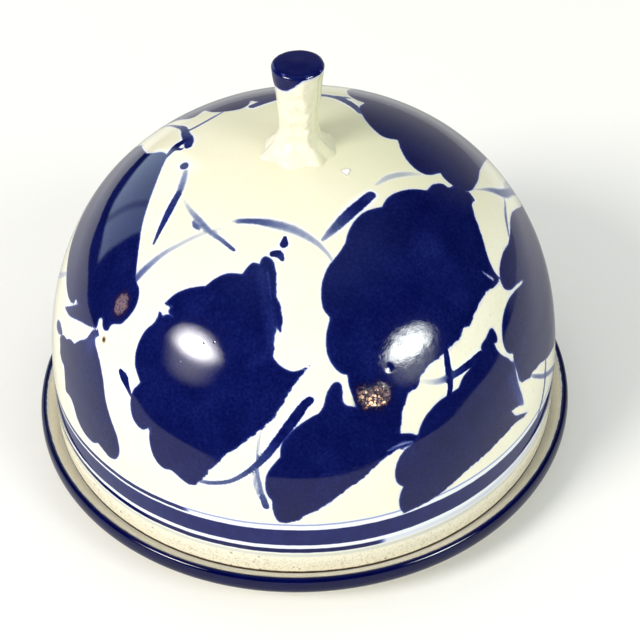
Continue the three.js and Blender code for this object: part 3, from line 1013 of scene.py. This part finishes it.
def knob():
    """The hand-formed knob: a foot squeezed out in toes, a lumpy stem and a flared, nearly flat head."""
    side_top = KNOB_HEIGHT - EDGE_ROUNDING
    stem = np.linspace(-KNOB_SINK, side_top, STEM_ROWS)
    flare = KNOB_FOOT_RADIUS - FOOT_INSET - NECK_RADIUS
    foot = flare * np.clip(1 - stem / NECK_HEIGHT, 0, 1.1) ** FOOT_FLARE
    share = np.clip((stem - NECK_HEIGHT) / (side_top - NECK_HEIGHT), 0, 1)
    radii = list(NECK_RADIUS + foot + (HEAD_RADIUS - NECK_RADIUS) * share**HEAD_FLARE)
    heights = list(stem)
    rim = [0.0] * len(stem)
    for turn_share in np.linspace(0, 1, EDGE_ROWS)[1:]:
        angle = turn_share * np.pi / 2
        radii.append(HEAD_RADIUS - EDGE_ROUNDING * (1 - math.cos(angle)) * EDGE_WIDTH)
        heights.append(side_top + EDGE_ROUNDING * math.sin(angle))
        rim.append(math.sin(2 * angle))
    edge_radius = radii[-1]
    for inward in np.linspace(1, 0, HEAD_ROWS)[1:]:
        radii.append(edge_radius * inward)
        dip = HEAD_DIP * math.sin(np.pi * inward) ** 2
        heights.append(KNOB_HEIGHT + HEAD_CROWN * (1 - inward**2) - dip)
        rim.append(0.0)

    angle = azimuths(KNOB_COLUMNS)
    r, h, rim_share = (np.repeat(np.array(v)[:, None], KNOB_COLUMNS, 1) for v in (radii, heights, rim))
    a = np.repeat(angle[None], len(radii), 0)
    toe = sum(size * np.exp(-((around_angle(a, centre) / width) ** 2)) for centre, size, width in TOES)
    r = r + toe * np.exp(-((np.clip(h, 0, None) / TOE_HEIGHT) ** 1.6))
    # The ridges fade out towards the foot and the head.
    shaft = np.clip(h / 4, 0, 1) * np.clip((side_top - h) / 3, 0, 1)
    for centre, size, width in RIDGES:
        r = r + size * shaft * np.exp(-((around_angle(a + RIDGE_TWIST * h, centre) / width) ** 2))
    for centre, height, size, radius in BUMPS:
        sideways = np.radians(around_angle(a, centre)) * r
        r = r + size * np.exp(-((sideways**2 + (h - height) ** 2) / radius**2))

    grid = np.stack([r * np.sin(a), -r * np.cos(a), KNOB_BASE + h], -1)
    flat = grid.reshape(-1, 3)
    lumps = STEM_LUMPS * wave(flat, (6, 8, 10, 13), 11) + FINGER_TEXTURE * wave(flat, (2.2, 3.1), 5)
    out = np.hypot(flat[:, 0], flat[:, 1])
    side = flat * [1, 1, 0] / np.maximum(out, 1e-3)[:, None]
    flat = flat + side * (lumps * np.clip(out / 4, 0, 1))[:, None]
    flat[:, 2] += HEAD_WARP * wave(flat, (9, 13), 21) * (flat[:, 2] > KNOB_BASE + side_top)

    drip = DRIP_LEAST + DRIP_MOST * np.exp(-((around_angle(a, DRIP_AZIMUTH) / DRIP_WIDTH) ** 4))
    blue = KNOB_HEIGHT - drip - h
    blue = np.where(h > side_top, np.minimum(blue, TOP_BLUE), blue)
    upside = slice(None, None, -1)
    grid = lean(flat).reshape(grid.shape)[upside]
    closed = np.concatenate([grid, np.repeat(grid[-1:].mean(1, keepdims=True), KNOB_COLUMNS, 1)])
    stored = (("blue", blue), ("rim", rim_share))
    fields = {key: np.concatenate([values[upside], values[:1]]) for key, values in stored}
    return grid_mesh("lid_knob_glazed", closed, fields, knob_material())


# ---------------------------------------------------------------- the plate
PLATE_COLUMNS = 480
FOOT_RING_OUTER = 56.0
FOOT_RING_INNER = 50.0
FOOT_RECESS = 4.6
PLATE_WARP = 0.09
WELL_RING = 0.06
WELL_PITCH = 6.5
WELL_RINGS_END = 0.9  # share of the plate's radius
PLATE_STAND = 3.0  # unevenness grows over this height above the foot
LIP_BLUE_START = 0.75  # the blue starts this far inside the lip's crest
BARE_HEIGHT = 0.8  # the foot ring is bare clay below this height
UNDERSIDE = 8.0  # past the crest by more than this, the profile runs under the plate
PLATE_CREAM = (0.88, 0.85, 0.72)
PLATE_WARM = (0.84, 0.79, 0.63)
POOLED_TAN_AND_SHADE = (0.44, 0.36, 0.23)
PLATE_CLAY_DARK = (0.45, 0.34, 0.22)

# Profile from the middle of the well, over the lip, round underneath and back to the axis.
PLATE_PROFILE = [
    (0, WELL - 0.1), (20, WELL - 0.1), (45, WELL - 0.1), (66, WELL - 0.1), (74, WELL - 0.1), (77.2, WELL),
    (78.7, WELL + 0.8), (79.8, WELL + 2.0), (80.6, WELL + 2.85), (81.2, LIP_CREST),
    (81.9, WELL + 2.8), (82.35, WELL + 1.5), (PLATE_RADIUS, RIM_EDGE), (82.2, RIM_EDGE - 1.3),
    (81.3, RIM_EDGE - 2.3), (79.5, RIM_EDGE - 2.9), (75, 6.9), (66, 6.0), (58.5, 5.3),
    (FOOT_RING_OUTER + 0.5, 4.6), (FOOT_RING_OUTER, 3.6), (FOOT_RING_OUTER - 0.2, 0.7),
    (FOOT_RING_OUTER - 0.8, 0.05), (FOOT_RING_OUTER - 2.5, 0), (FOOT_RING_INNER + 2.5, 0),
    (FOOT_RING_INNER + 0.8, 0.05), (FOOT_RING_INNER + 0.1, 0.7), (FOOT_RING_INNER - 0.3, 3.6),
    (FOOT_RING_INNER - 1.3, FOOT_RECESS), (40, FOOT_RECESS), (20, FOOT_RECESS), (0, FOOT_RECESS),
]


def plate_material():
    g = Glaze("plate_glaze")
    along = g.field("lip")
    edge = g.plus(along, g.plus(g.around(3.5, 0.8, 3), g.around(0.8, 0.3, 2)))
    lip = g.times(g.step(edge, -0.25, 0.2), g.step(edge, 9.3, 8.4))
    near = g.times(g.step(edge, -1.5, 0.0), g.step(edge, 11, 9))
    base = g.mix(g.noise(18, 3), PLATE_CREAM, PLATE_WARM)
    base = g.mix(g.times(g.step(g.noise(0.8, 3), 0.5, 0.75), 0.22), base, SAND)
    base = g.mix(g.times(g.specks(6, 0.08), 0.5), base, IRON)
    base = g.mix(g.times(near, 0.8), base, CREAM_BLUISH)
    # Tan in the groove inside the lip: pooled glaze with painted shade of the recess, deeper on the left.
    pooled = g.times(g.step(edge, 10.5, 13), g.blend(g.step(g.x, 0, -60), 0.35, 0.9))
    base = g.mix(pooled, base, POOLED_TAN_AND_SHADE)
    flecks = g.times(g.specks(2.6, 0.12), 0.5)
    full = g.minus(g.plus(g.around(5, 0.4, 3), 1.3), flecks)
    depth = g.greatest(g.times(lip, full), g.times(near, 0.06))
    color = g.tint(base, depth, COBALT_GLASS)
    bare = g.field("bare")
    clay = g.mix(g.noise(2.2, 4), CLAY, PLATE_CLAY_DARK)
    color = g.mix(bare, color, clay)
    roughness = g.blend(bare, GLAZE_ROUGHNESS, 0.8)
    grain = g.times(g.times(g.noise(0.8, 3), bare), 1.4)
    return g.finish(color, roughness, g.plus(glaze_height(g), grain), 0.1)


def plate():
    """The shallow plate as one closed turned form."""
    points = np.array(PLATE_PROFILE, float)
    corners = [False] * len(points)
    line = smooth_run(points, corners, closed=False, spacing=0.9)
    line[:, 0] = np.maximum(line[:, 0], 0)
    travel = np.append(0, np.cumsum(np.hypot(*np.diff(line, axis=0).T)))
    grid = revolve(line[:, 0], line[:, 1], azimuths(PLATE_COLUMNS))
    flat = grid.reshape(-1, 3)
    out = np.hypot(flat[:, 0], flat[:, 1])
    reach = np.clip(out / PLATE_RADIUS, 0, 1)
    ring = WELL_RING * np.sin(out * 2 * np.pi / WELL_PITCH + np.arctan2(flat[:, 0], flat[:, 1]))
    topside = np.repeat(travel < travel[np.argmax(line[:, 0])], PLATE_COLUMNS)
    standing = np.clip(flat[:, 2] / PLATE_STAND, 0, 1)
    warp = PLATE_WARP * wave(flat, (70, 95, 54), 8) * reach**3
    flat[:, 2] += (warp + ring * topside * (reach < WELL_RINGS_END)) * standing
    crest = travel[np.argmax(line[:, 1])]
    lip = np.repeat(travel - (crest - LIP_BLUE_START), PLATE_COLUMNS)
    under = np.repeat((travel > crest + UNDERSIDE) & (line[:, 1] < BARE_HEIGHT), PLATE_COLUMNS)
    fields = {"lip": lip, "bare": under.astype(float)}
    return grid_mesh("plate_glazed", flat.reshape(grid.shape), fields, plate_material())


# ---------------------------------------------------------------- camera, light and table
CAMERA_BACK = 362.1  # millimetres in front of the object's axis
CAMERA_UP = 363.8
CAMERA_TILT = 42.07  # degrees below the horizon
CAMERA_PAN = 0.88
CAMERA_ROLL = -1.79
CAMERA_LENS = 90.0


def camera():
    tilt, pan, roll = map(math.radians, (CAMERA_TILT, CAMERA_PAN, CAMERA_ROLL))
    forward = Vector((math.sin(pan) * math.cos(tilt), math.cos(pan) * math.cos(tilt), -math.sin(tilt)))
    level = forward.cross(Vector((0, 0, 1))).normalized()
    upright = level.cross(forward)
    right = level * math.cos(roll) + upright * math.sin(roll)
    up = upright * math.cos(roll) - level * math.sin(roll)
    data = bpy.data.cameras.new("camera")
    data.lens = CAMERA_LENS
    data.clip_start, data.clip_end = 0.02, 50
    made = bpy.data.objects.new("camera", data)
    place = Matrix((right, up, -forward)).transposed().to_4x4()
    place.translation = Vector((0, -CAMERA_BACK, CAMERA_UP)) * MM
    made.matrix_world = place
    bpy.context.scene.collection.objects.link(made)
    bpy.context.scene.camera = made


def towards(azimuth, elevation):
    """Unit vector to a direction; azimuth 0 is towards the front (-Y) and 90 towards +X, in degrees."""
    a, e = math.radians(azimuth), math.radians(elevation)
    return Vector((math.sin(a) * math.cos(e), -math.cos(a) * math.cos(e), math.sin(e)))


def disc(name, radius, corners, material, centre=(0.0, 0.0), height=0.0):
    """A flat round face, in metres."""
    angle = np.linspace(0, 2 * np.pi, corners, endpoint=False)
    ring = [(centre[0] + radius * math.cos(a), centre[1] + radius * math.sin(a), height) for a in angle]
    mesh = bpy.data.meshes.new(name)
    mesh.from_pydata(ring, [], [tuple(range(corners))])
    mesh.materials.append(material)
    return bpy.data.objects.new(name, mesh)


OBJECT_MIDDLE = Vector((0, 0, 0.06))
ROOM_LIGHT = 0.68
LAMP_DISTANCE = 2.4
LAMP_RADIUS = 0.68
LAMP_CORE = 90.0  # radiance of the bulb behind the diffuser
LAMP_HALO = 6.0  # radiance of the rest of the diffuser next to the bulb
LAMP_CORE_SIZE = (0.35, 0.23)  # half width and half height of the bulb's glow, in metres
LAMP_CORE_RAISE = 0.26
SOFT_LIGHT_SIZE = LAMP_RADIUS * 1.3
SOFT_LIGHT_RAISE = 18  # degrees by which each lamp's soft light comes from higher up than its reflection
LAMPS = (
    # name, azimuth and elevation in degrees, power in watts, colour
    ("lamp_left", -54, 19, 38.0, (1.0, 0.965, 0.95)),
    ("lamp_right", 49, 17, 14.0, (0.95, 1.0, 0.94)),
)


def lamp_material(color):
    """A diffuser: an oval bright core above its middle in a wide, dimmer halo, worked out in metres."""
    g = Glaze("lamp_glow")
    across = g.times(g.x, MM)
    up = g.times(g.y, MM)
    core = g.length(g.math("DIVIDE", across, LAMP_CORE_SIZE[0]),
                    g.math("DIVIDE", g.minus(up, LAMP_CORE_RAISE), LAMP_CORE_SIZE[1]))
    fall = g.math("POWER", g.math("DIVIDE", core, 1.15), 3.0)
    bright = g.times(g.math("EXPONENT", g.times(fall, -1)), LAMP_CORE)
    soft = g.times(g.step(g.length(across, up), LAMP_RADIUS, LAMP_RADIUS * 0.2), LAMP_HALO)
    glow = g.add("ShaderNodeEmission")
    g.put(glow.inputs["Color"], color)
    g.put(glow.inputs["Strength"], g.plus(bright, soft))
    end = g.add("ShaderNodeOutputMaterial")
    g.put(end.inputs["Surface"], glow.outputs[0])
    return g.material


def lights():
    """Each lamp is a soft light for surfaces and a glowing diffuser that only shows in reflections."""
    for name, azimuth, elevation, power, color in LAMPS:
        glow = disc(name + "_glow", LAMP_RADIUS, 64, lamp_material(color))
        glow.visible_camera = False
        glow.visible_diffuse = False
        glow.visible_shadow = False
        data = bpy.data.lights.new(name, "AREA")
        data.shape = "DISK"
        data.size = SOFT_LIGHT_SIZE
        data.energy = power
        data.color = color
        light = bpy.data.objects.new(name, data)
        light.visible_camera = False
        light.visible_glossy = False
        for made, height in ((glow, elevation), (light, elevation + SOFT_LIGHT_RAISE)):
            place = OBJECT_MIDDLE + towards(azimuth, height) * LAMP_DISTANCE
            made.location = place
            made.rotation_mode = "QUATERNION"
            made.rotation_quaternion = (OBJECT_MIDDLE - place).to_track_quat("-Z", "Y")
            bpy.context.scene.collection.objects.link(made)


SHEET_CENTRE = (0.0, 0.427)  # the round white table top that the glaze reflects, in metres
SHEET_RADIUS = 0.61
SHEET_HEIGHT = 0.0001
SHEET_EDGE = 0.006  # its edge fades over this width in front
SHEET_EDGE_RIGHT = 0.05  # and over this one on the right
SHADE_CENTRE = (0.0, 0.12)  # the dish's own shadow on the sheet
SHADE_RADIUS = 0.24
SHADE_CORE = 0.10
SHADE_GREY = (0.1, 0.1, 0.1)
FLOOR_RADIUS = 8.0
FLOOR_WHITE = (0.94, 0.935, 0.89)
FLOOR_CREAM = (0.92, 0.918, 0.86)


def matt(g, color):
    """A rough, nearly unshiny surface with a fine grain."""
    return g.finish(color, 0.9, g.noise(1.5, 2), 0.02, level=0.1)


def floor_material(name):
    g = Glaze(name)
    return matt(g, g.mix(g.noise(120, 2), FLOOR_CREAM, FLOOR_WHITE))


def sheet_material(name):
    """The floor's white, darker in the dish's shadow, and clear beyond the sheet's soft edge."""
    g = Glaze(name)

    def distance(centre):
        return g.length(g.minus(g.times(g.x, MM), centre[0]), g.minus(g.times(g.y, MM), centre[1]))

    color = g.mix(g.noise(120, 2), FLOOR_CREAM, FLOOR_WHITE)
    shaded = g.step(distance(SHADE_CENTRE), SHADE_RADIUS, SHADE_CORE)
    material = matt(g, g.mix(g.times(shaded, 0.5), color, SHADE_GREY))
    softness = g.blend(g.step(g.times(g.x, MM), 0.12, 0.42), SHEET_EDGE, SHEET_EDGE_RIGHT)
    inward = g.math("DIVIDE", g.minus(SHEET_RADIUS, distance(SHEET_CENTRE)), softness)
    clear = g.add("ShaderNodeBsdfTransparent").outputs[0]
    end = next(node for node in g.tree.nodes if node.type == "OUTPUT_MATERIAL")
    white = end.inputs["Surface"].links[0].from_socket
    g.put(end.inputs["Surface"], g.join(g.step(inward, 0.0, 1.0), clear, white))
    return material


def floor():
    """A white floor, and a white sheet on it that only shows in reflections: the lit table top."""
    plain = disc("floor", FLOOR_RADIUS, 128, floor_material("floor_white"))
    plain.visible_glossy = False
    sheet_white = sheet_material("floor_sheet_white")
    sheet = disc("floor_sheet", SHEET_RADIUS, 128, sheet_white, SHEET_CENTRE, SHEET_HEIGHT)
    sheet.visible_camera = False
    sheet.visible_diffuse = False
    sheet.visible_shadow = False
    for made in (plain, sheet):
        bpy.context.scene.collection.objects.link(made)


# What the glaze reflects of the room, in degrees of azimuth and elevation.
WINDOW = (-156, -121)
WINDOW_PANES = ((-156, -136), (-133, -121))
WINDOW_HEIGHTS = (1.5, 34)
WINDOW_SOFTNESS = 1.2
WINDOW_BLUE = (1.5, 1.9, 2.4)
WALL_GREY = (0.62, 0.62, 0.60)
DIM_ROOM = (0.012, 0.014, 0.018)
CEILING_BLUE = (0.34, 0.46, 0.55)
ROOM_WHITE = (0.95, 0.97, 1.0)


def reflected_room(g, x, y, z):
    """A dim room with a window behind on the left, a pale wall behind the dish and a paler ceiling."""
    azimuth = g.times(g.math("ARCTAN2", x, g.times(y, -1)), math.degrees(1))
    elevation = g.times(g.math("ARCSINE", z), math.degrees(1))
    panes = g.plus(*(g.between(azimuth, *pane, WINDOW_SOFTNESS) for pane in WINDOW_PANES))
    window = g.times(g.plus(g.times(panes, 0.5), 0.5), g.between(azimuth, *WINDOW, WINDOW_SOFTNESS))
    window = g.times(window, g.between(elevation, *WINDOW_HEIGHTS, WINDOW_SOFTNESS))
    behind = g.math("MAXIMUM", g.step(azimuth, 120, 142), g.step(azimuth, -158, -164))
    high_wall = g.times(behind, g.step(elevation, 48, 0))
    low_wall = g.times(g.step(azimuth, 98, 106), g.step(elevation, 12, 3))
    wall = g.math("MAXIMUM", high_wall, g.times(low_wall, 0.8))
    color = g.mix(g.step(elevation, 42, 88), DIM_ROOM, CEILING_BLUE)
    color = g.mix(wall, color, WALL_GREY)
    return g.mix(window, color, WINDOW_BLUE)


def world():
    """An even pale room for the eye and for soft light, and the dim room in reflections."""
    made = bpy.data.worlds.new("room")
    bpy.context.scene.world = made
    made.use_nodes = True
    g = Shader(made.node_tree)
    place = g.add("ShaderNodeTexCoord")
    split = g.add("ShaderNodeSeparateXYZ")
    g.put(split.inputs[0], place.outputs["Generated"])
    x, y, z = split.outputs
    even = g.add("ShaderNodeBackground")
    g.put(even.inputs["Color"], ROOM_WHITE)
    falling = g.plus(g.times(y, -0.2), g.times(x, -0.1))
    g.put(even.inputs["Strength"], g.times(g.plus(falling, 1.0), ROOM_LIGHT))
    room = g.add("ShaderNodeBackground")
    g.put(room.inputs["Color"], reflected_room(g, x, y, z))
    reflected = g.add("ShaderNodeLightPath").outputs["Is Glossy Ray"]
    end = g.add("ShaderNodeOutputWorld")
    g.put(end.inputs["Surface"], g.join(reflected, even.outputs[0], room.outputs[0]))


def colour_handling():
    settings = bpy.context.scene.view_settings
    settings.view_transform = "Standard"
    settings.look = "None"
    settings.exposure = 0.0


camera()
lights()
floor()
world()
colour_handling()

for piece, body, node, slot in (
    (dome(), "lid", "lid_dome", "lid_glaze"),
    (knob(), "lid", "lid_knob", "knob_glaze"),
    (plate(), "plate", "plate", "plate_glaze"),
):
    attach(piece, body)
    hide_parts(node)
